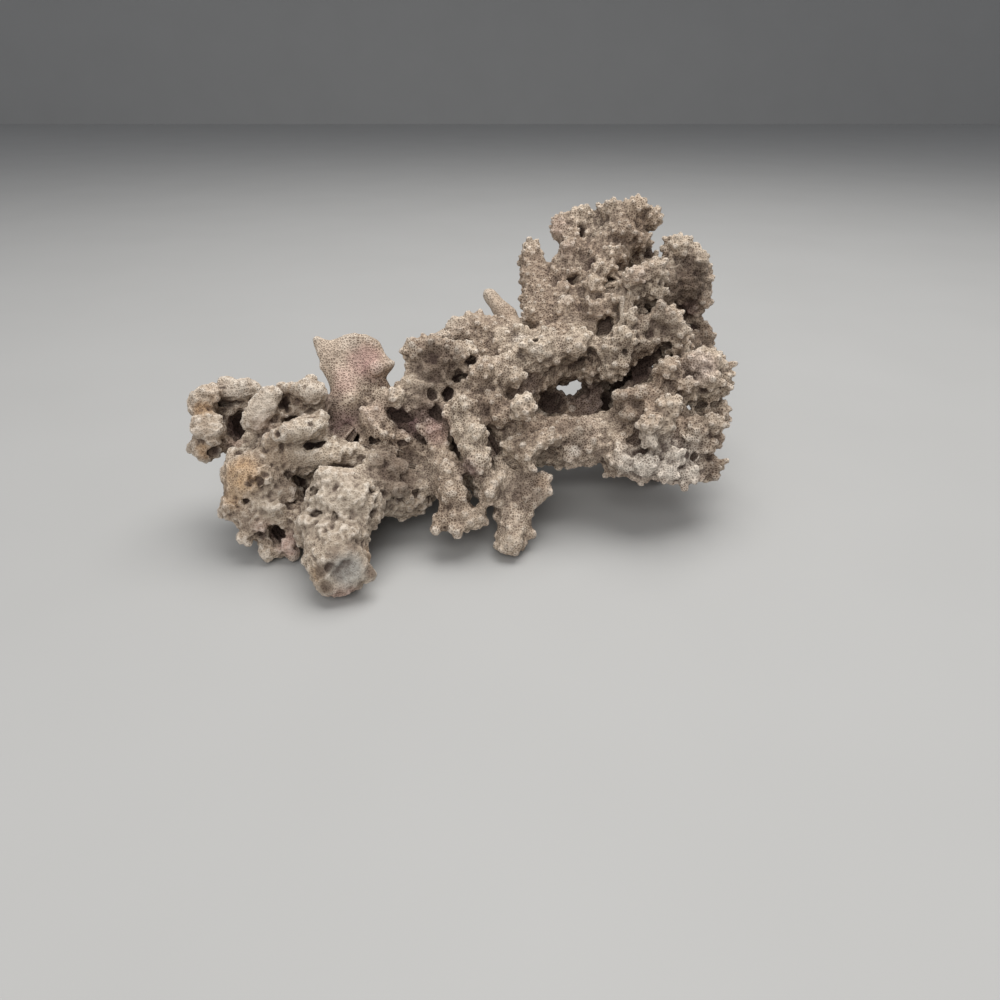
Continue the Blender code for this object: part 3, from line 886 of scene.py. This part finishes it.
def coral_finish(name, least_rock):
    """Honeycombed limestone: pale on what stands out and brown in the furrows, each partly the
    coral's own colour and partly painted highlight and shade; stained in places.
    """
    finish = Finish(name)
    place = finish.place()
    rise = finish.attribute("rise")
    swell = finish.attribute("swell")
    bulk = finish.attribute("bulk")
    rock = finish.attribute("rock").at_least(least_rock)
    patch = finish.noise(place, PATCHES, 4)
    lump = finish.noise(place, LUMPINESS, 4, 0.6)
    grain = finish.noise(place, GRAINS, 3, 0.6)
    large = finish.attribute("large")
    pits = finish.walls(place, PITS).between(0.07, 0.31)
    large_pits = finish.walls(place, LARGE_PITS).between(0.1, 0.34)
    pits = (pits * (1 - large) + large_pits * large) * (1 - rock * 0.65)
    worn = finish.noise(place, WORN_PLACES, 3).between(0.35, 0.65)
    colour = finish.mix(patch.between(0.35, 0.65), BEIGE, CREAM)
    blush = finish.noise(place, BLUSHES, 3).between(0.55, 0.75)
    colour = finish.mix(blush * 0.3, colour, PINK)
    colour = finish.mix(rock * 0.7, colour, CHALK)
    # Pale on what stands out: partly the worn tips' own paleness, partly painted highlight.
    tips = (rise * 0.7 + swell * 0.4 + bulk * 0.3 + lump).between(0.6, 2.0)
    colour = finish.mix(tips * 0.65, colour, PALE_AND_HIGHLIGHT)
    # The brown, purple and pale stains carry painted shade and light as well as real stains.
    for stain, tone, share in (
        ("pink", PINK, 0.6),
        ("rust", RUST, 0.6),
        ("purple", PURPLE_AND_SHADE_TONE, 0.9),
        ("brown", BROWN_AND_SHADE_TONE, 0.85),
        ("pale", PALE_AND_HIGHLIGHT, 0.8),
        ("grey", GREY, 0.9),
        # Painted shade inside the deeper gaps and holes.
        ("dark", VALLEY_BROWN_AND_SHADE, 0.85),
    ):
        stained = finish.attribute(stain) * (lump * 0.8 + 0.6)
        colour = finish.mix((stained * share).between(0, 1), colour, tone)
    # Painted shade, partly the coral's own brown: furrows and hollows, found from how far the skin
    # lies below its evened-out levels, are mixed towards the darkest brown.
    hollow = 1 - (rise * 0.6 + swell * 0.6 + bulk * 0.5 + lump * 0.8).between(-1.1, 1.0)
    colour = finish.mix(hollow * 0.92, colour, VALLEY_BROWN_AND_SHADE)
    colour = finish.darken(colour, pits * (worn * 0.4 + 0.45) * (1 - tips * 0.3), PIT)
    colour = finish.darken(colour, 0.35 - grain.between(0.35, 0.6) * 0.35, SOOT)
    finish.put(finish.shader.inputs["Base Color"], colour)
    finish.put(finish.shader.inputs["Roughness"], 0.84 + grain * 0.15)
    finish.shader.inputs["Specular IOR Level"].default_value = 0.2
    height = grain * (0.25 + rock * 0.4) - pits * 0.8 + lump * 0.5
    sockets = {"Strength": 0.9, "Distance": 0.0008, "Height": height}
    finish.put(finish.shader.inputs["Normal"], finish.node("ShaderNodeBump", {}, sockets))
    return finish.material


# The stage, in metres: half the floor's side, how much farther back it runs, how it turns up at its
# end, and the place that the lamps look at.
FLOOR_HALF = 2.5
FLOOR_MORE = 0.3
UPTURN = Vector((0, 0.5, 2.5))
LIT_PLACE = Vector((0, 0, 0.04))
FLOOR_TONE = (0.378, 0.377, 0.37, 1)
FLOOR_CLOUD = (0.6, 0.6, 0.6, 1)

# The lamps: name, place and width in metres, watts and colour.
LAMPS = (
    ("window", (0.18, 0.24, 1.22), 1.2, 17, (1, 0.985, 0.96)),
    ("front", (-0.15, -1.0, 0.8), 0.9, 7.5, (1, 0.985, 0.96)),
)
ROOM_TONE = (0.93, 0.95, 1, 1)
ROOM_STRENGTH = 0.33


def plain_finish(name, colour, roughness):
    finish = Finish(name)
    soft = finish.noise(finish.place(), 9, 2)
    clouded = finish.mix(soft * 0.12, colour, FLOOR_CLOUD)
    finish.put(finish.shader.inputs["Base Color"], clouded)
    finish.shader.inputs["Roughness"].default_value = roughness
    return finish.material


def make_stage():
    """A floor that turns up a good way behind the coral."""
    bm = bmesh.new()
    edge = bmesh.ops.create_grid(bm, x_segments=1, y_segments=1, size=FLOOR_HALF)
    back = [v for v in edge["verts"] if v.co.y > 0]
    for vert in bm.verts:
        vert.co.y += FLOOR_MORE if vert.co.y > 0 else 0
    rim = [e for e in bm.edges if all(v in back for v in e.verts)]
    turned = bmesh.ops.extrude_edge_only(bm, edges=rim)
    for vert in turned["geom"]:
        if isinstance(vert, bmesh.types.BMVert):
            vert.co += UPTURN
    floor = object_of("floor", bm)
    floor.data.materials.append(plain_finish("pale_floor", FLOOR_TONE, 0.7))


def add_lamp(name, place, size, watts, colour):
    lamp = bpy.data.lights.new(name, "AREA")
    lamp.shape = "DISK"
    lamp.size = size
    lamp.energy = watts
    lamp.color = colour
    obj = bpy.data.objects.new(name, lamp)
    obj.location = place
    obj.rotation_euler = (LIT_PLACE - Vector(place)).to_track_quat("-Z", "Y").to_euler()
    bpy.context.scene.collection.objects.link(obj)


def make_light():
    for lamp in LAMPS:
        add_lamp(*lamp)
    world = bpy.data.worlds.new("room")
    world.use_nodes = True
    sky = world.node_tree.nodes["Background"]
    sky.inputs["Color"].default_value = ROOM_TONE
    sky.inputs["Strength"].default_value = ROOM_STRENGTH
    bpy.context.scene.world = world
    bpy.context.scene.view_settings.view_transform = "Standard"


def make_camera():
    camera = bpy.data.cameras.new("camera")
    camera.sensor_width = SENSOR
    camera.lens = SENSOR * PICTURE_FOCAL / (2 * PICTURE_MIDDLE)
    camera.clip_start = 0.01
    obj = bpy.data.objects.new("camera", camera)
    obj.location = EYE
    obj.rotation_euler = (math.pi / 2 - PITCH, 0, 0)
    bpy.context.scene.collection.objects.link(obj)
    bpy.context.scene.camera = obj


# The pieces.

# Stained, bleached and worn places, and painted shade and light in some of the brown, purple and
# pale rows: the picture's across and down, the radius in millimetres, and how strong the stain is.
STAINS = {
    "pink": [
        (365, 362, 10, 1.0),
        (345, 380, 9, 0.7),
        (437, 430, 8, 0.8),
        (702, 366, 9, 0.6),
        (557, 225, 8, 0.45),
        (567, 248, 7, 0.35),
        (290, 546, 8, 0.7),
        (262, 530, 6, 0.5),
        (345, 594, 8, 0.7),
        (262, 425, 7, 0.35),
        (408, 430, 8, 0.5),
        (640, 275, 7, 0.35),
        (372, 412, 9, 0.4),
        (235, 447, 6, 0.5),
    ],
    "rust": [
        (240, 475, 11, 0.9),
        (234, 495, 8, 0.7),
        (203, 411, 5, 0.9),
        (216, 394, 5, 0.5),
        (205, 452, 5, 0.8),
        (275, 455, 9, 0.35),
        (640, 210, 13, 0.3),
        (316, 575, 5, 0.6),
        (368, 556, 5, 0.6),
        (541, 482, 4, 0.5),
        (404, 420, 6, 0.3),
    ],
    "purple": [
        (345, 425, 11, 0.85),
        (330, 400, 8, 0.45),
        # Painted shade in the recess beside the left lobes.
        (235, 430, 9, 0.8),
        (400, 412, 10, 0.75),
        (428, 418, 10, 0.7),
        (277, 535, 8, 0.85),
        (490, 452, 8, 0.6),
        (320, 443, 6, 0.6),
        (450, 392, 8, 0.8),
        (415, 425, 7, 0.8),
        (470, 470, 7, 0.7),
        # Painted shade in the dark gap under the crown and on the shaded side of a crown lobe: these
        # three rows.
        (590, 400, 14, 0.6),
        (640, 372, 12, 0.7),
        (685, 305, 9, 0.8),
        (471, 362, 7, 0.8),
        (530, 385, 9, 0.5),
    ],
    "brown": [
        (346, 570, 13, 0.35),
        (320, 572, 4, 0.9),
        (326, 588, 4, 0.9),
        (371, 572, 4, 0.9),
        (352, 549, 4, 0.7),
        (333, 554, 4, 0.8),
        (438, 365, 14, 0.95),
        (425, 395, 9, 0.8),
        (458, 355, 7, 0.6),
        # Painted shade on the shaded right side of a crown lobe.
        (690, 285, 15, 1.0),
        (700, 262, 8, 0.5),
        # Painted shade in the dark gaps under the crown: these three rows.
        (655, 325, 16, 0.6),
        (620, 350, 13, 0.5),
        (625, 405, 12, 0.5),
        (590, 320, 9, 0.6),
        (620, 225, 16, 0.35),
        (575, 260, 12, 0.4),
        (700, 335, 9, 0.6),
        (712, 470, 6, 0.7),
        (704, 422, 10, 0.5),
        (550, 330, 12, 0.3),
        (530, 270, 12, 0.3),
        (285, 485, 7, 0.5),
        (345, 462, 7, 0.5),
        (490, 408, 14, 0.45),
        # Painted shade from the cavities of the middle mass, over its greyish-brown colour.
        (398, 470, 17, 0.9),
        (372, 448, 9, 0.4),
        (575, 430, 14, 0.55),
        (530, 488, 10, 0.65),
        (514, 540, 10, 0.3),
        (512, 385, 10, 0.3),
    ],
    "pale": [
        (575, 451, 3.5, 0.8),
        (520, 338, 5, 0.7),
        (535, 352, 4, 0.6),
        (565, 298, 5, 0.5),
        (312, 392, 8, 0.4),
        (235, 388, 10, 0.5),
        (265, 408, 9, 0.5),
        (335, 500, 16, 0.2),
        (350, 340, 6, 0.4),
        # Painted light on the lowest right lobe, which faces the front lamp: these two rows.
        (645, 464, 17, 1.0),
        (680, 462, 16, 1.0),
        (700, 368, 9, 0.5),
        (450, 338, 14, 0.35),
    ],
    "grey": [(347, 570, 8, 0.95)],
    "large": [(525, 407, 9, 1.0), (660, 424, 12, 1.0)],
    "rock": [
        (330, 510, 24, 1.0),
        (270, 500, 13, 0.9),
        (345, 560, 18, 1.0),
        (385, 500, 12, 0.7),
        (206, 425, 14, 0.7),
        (265, 408, 11, 0.8),
        (312, 392, 8, 0.6),
    ],
}


# How far each point stands out, at three sizes: the attribute's name, the rounds of evening out
# that it is measured from, and the height in millimetres that counts as one.
RELIEF = (("rise", 14, 0.4), ("swell", 80, 1.3), ("bulk", 350, 3.0))

# How often the borders between parts are evened out, and stray patches given away.
BORDER_ROUNDS = 6
STRAY_ROUNDS = 8


def note(mesh, name, values):
    layer = mesh.attributes.new(name, "FLOAT", "POINT")
    layer.data.foreach_set("value", values.astype(np.float32))


def paint(obj, tree):
    """Writes what the finishes read: how far each point stands out, how stained it is, with
    painted shade and light in some stains, and the painted shade inside the deeper gaps and holes.
    """
    mesh = obj.data
    places = places_of(mesh)
    normals = normals_of(mesh)
    for name, passes, reach in RELIEF:
        out = ((places - level_of(obj, passes)) * normals).sum(axis=1)
        note(mesh, name, out / (reach * MM))
    for name, spots in STAINS.items():
        amount = np.zeros(len(places))
        for across, down, radius, share in spots:
            middle = met(tree, across, down)
            if not middle:
                continue
            away = np.linalg.norm(places - np.array(middle), axis=1)
            soft = np.clip(1.3 - away / (radius * MM), 0, 1)
            amount = np.maximum(amount, share * soft * soft * (3 - 2 * soft))
        note(mesh, name, amount)
    # Painted shade inside the deeper gaps and holes.
    dark = np.zeros(len(places))
    for across, down, half_width, half_height, _, depth in GAPS + HOLES:
        middle = met(tree, across, down)
        if middle and depth > SHALLOW:
            size = (middle - EYE).dot(AHEAD) / PICTURE_FOCAL
            radius = size * math.sqrt(half_width * half_height) * 1.1
            away = np.linalg.norm(places - np.array(middle), axis=1)
            soft = np.clip(1.4 - away / radius, 0, 1)
            dark = np.maximum(dark, soft * soft * (3 - 2 * soft))
    note(mesh, "dark", dark)


def neighbours(mesh):
    """Pairs of faces that share an edge."""
    counts = np.empty(len(mesh.polygons), dtype=np.int32)
    mesh.polygons.foreach_get("loop_total", counts)
    edges = np.empty(len(mesh.loops), dtype=np.int32)
    mesh.loops.foreach_get("edge_index", edges)
    faces = np.repeat(np.arange(len(counts)), counts)
    order = np.argsort(edges, kind="stable")
    edges = edges[order]
    faces = faces[order]
    same = edges[1:] == edges[:-1]
    return np.stack([faces[:-1][same], faces[1:][same]], axis=1)


def islands(pairs, count):
    """The lowest face that each face is joined to through the pairs."""
    label = np.arange(count)
    while True:
        low = np.minimum(label[pairs[:, 0]], label[pairs[:, 1]])
        new = label.copy()
        np.minimum.at(new, pairs[:, 0], low)
        np.minimum.at(new, pairs[:, 1], low)
        new = new[new]
        if (new == label).all():
            return label
        label = new


def settle(part, pairs, kinds):
    """Evens out the borders between parts and gives stray patches to what surrounds them."""
    count = len(part)
    for _ in range(BORDER_ROUNDS):
        votes = np.zeros((count, kinds), dtype=np.int8)
        np.add.at(votes, (pairs[:, 0], part[pairs[:, 1]]), 1)
        np.add.at(votes, (pairs[:, 1], part[pairs[:, 0]]), 1)
        votes[np.arange(count), part] += 1
        part = votes.argmax(axis=1)
    for _ in range(STRAY_ROUNDS):
        inner = pairs[part[pairs[:, 0]] == part[pairs[:, 1]]]
        group = islands(inner, count)
        sizes = np.bincount(group, minlength=count)
        best = np.zeros(kinds, dtype=int)
        for kind in range(kinds):
            mine = sizes * (part == kind)
            best[kind] = mine.argmax()
        stray = group != best[part]
        if not stray.any():
            break
        border = pairs[stray[pairs[:, 0]] != stray[pairs[:, 1]]]
        if not len(border):
            break
        inside = np.where(stray[border[:, 0]], border[:, 0], border[:, 1])
        outside = np.where(stray[border[:, 0]], border[:, 1], border[:, 0])
        new_kind = np.full(count, -1)
        new_kind[group[inside]] = part[outside]
        moved = stray & (new_kind[group] >= 0)
        part = np.where(moved, new_kind[group], part)
    return part


def divide(skin, part, names):
    """Divides the skin into one object for each part."""
    mesh = skin.data
    mesh.materials.clear()
    for name in names:
        mesh.materials.append(bpy.data.materials.new("part_" + name))
    mesh.polygons.foreach_set("material_index", part.astype(np.int32))
    before = set(bpy.data.objects)
    bpy.context.view_layer.objects.active = skin
    skin.select_set(True)
    bpy.ops.object.mode_set(mode="EDIT")
    bpy.ops.mesh.select_all(action="SELECT")
    bpy.ops.mesh.separate(type="MATERIAL")
    bpy.ops.object.mode_set(mode="OBJECT")
    pieces = {}
    for obj in [skin] + [o for o in bpy.data.objects if o not in before]:
        index = obj.data.polygons[0].material_index
        name = obj.material_slots[index].material.name[len("part_") :]
        pieces[name] = obj
    return pieces


def outside(point, tree):
    level, normal, _, _ = tree.find_nearest(point)
    return (point - level).dot(normal) > 0


def strays(middle, rim, tree):
    """How many of the straight lines from the rim to the middle leave the coral."""
    return sum(
        outside(point.lerp(middle, share), tree)
        for point in rim[:: 1 + len(rim) // RIM_POINTS]
        for share in WAY_SHARES
    )


def cap_middle(rim, tree):
    """The place where a cap's faces meet, moved in steps so that the cap leaves the coral least."""
    best = sum(rim, Vector()) / len(rim)
    step = 0.5 * sum((point - best).length for point in rim) / len(rim)
    least = strays(best, rim, tree)
    for _ in range(CAP_TRIES):
        if not least:
            break
        tries = [best + Vector(way) * step for way in WAYS]
        counts = [strays(place, rim, tree) for place in tries]
        if min(counts) < least:
            least = min(counts)
            best = tries[counts.index(least)]
        else:
            step *= 0.5
    return best


def close(obj, tree):
    """Fills each cut with a cap of faces that meet in the middle."""
    bm = bmesh.new()
    bm.from_mesh(obj.data)
    loose = [v for v in bm.verts if not v.link_faces]
    bmesh.ops.delete(bm, geom=loose, context="VERTS")
    rim = [e for e in bm.edges if e.is_boundary]
    for edge in rim:
        edge.smooth = False
    filled = bmesh.ops.holes_fill(bm, edges=rim, sides=0)
    poked = bmesh.ops.poke(bm, faces=filled["faces"])
    for vert in poked["verts"]:
        vert.co = cap_middle([e.other_vert(vert).co for e in vert.link_edges], tree)
    for face in bm.faces:
        face.smooth = True
        face.material_index = 0
    bm.to_mesh(obj.data)
    bm.free()


SLOTS = {"base": "old_rock", "left_lobes": "old_rock", "fan": "pink_coral", "tuft": "brown_coral"}
LEAST_ROCK = {"old_rock": 0.5}


def make_coral():
    names = list(NODES)
    parts, owners = whole_of(NODES)
    parts_tree = tree_of(parts)
    body = make_body(NODES)
    body_tree = tree_of(body)
    furrow(body, nearest_part(places_of(body.data), parts_tree, owners), names, body_tree)
    fuse(body, CORE_VOXEL, 0.4, 1)
    core = add_lumps(body)
    cut_out(core, tree_of(core), GAPS)
    fuse(core, CORE_VOXEL, 0.5, 1)
    core_tree = tree_of(core)
    owner = nearest_part(centres_of(core.data), parts_tree, owners)
    apart_of = [WARTS[name][0] * MM if name in WARTS else 0 for name in names]
    places = scattered(core, owner, apart_of, core_tree)
    skin = add_warts(core, places)
    fuse(skin, SKIN_VOXEL, 0.2, 1)
    cut_out(skin, core_tree, HOLES)
    fuse(skin, SKIN_VOXEL, 0.1, 1)
    crumble(skin, nearest_part(places_of(skin.data), parts_tree, owners), names, core_tree)
    paint(skin, core_tree)
    part = nearest_part(centres_of(skin.data), parts_tree, owners)
    part = settle(part, neighbours(skin.data), len(names))
    skin_tree = tree_of(skin)
    pieces = divide(skin, part, names)
    for obj in (parts, core):
        bpy.data.objects.remove(obj)
    finishes = {}
    for name, piece in pieces.items():
        slot = SLOTS.get(name, "dry_coral")
        if slot not in finishes:
            finishes[slot] = coral_finish("finish_" + slot, LEAST_ROCK.get(slot, 0.0))
        piece.name = name + "_skin"
        close(piece, skin_tree)
        piece.data.materials.clear()
        piece.data.materials.append(finishes[slot])
        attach(piece, "root")
        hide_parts(name)


make_camera()
make_light()
make_stage()
make_coral()
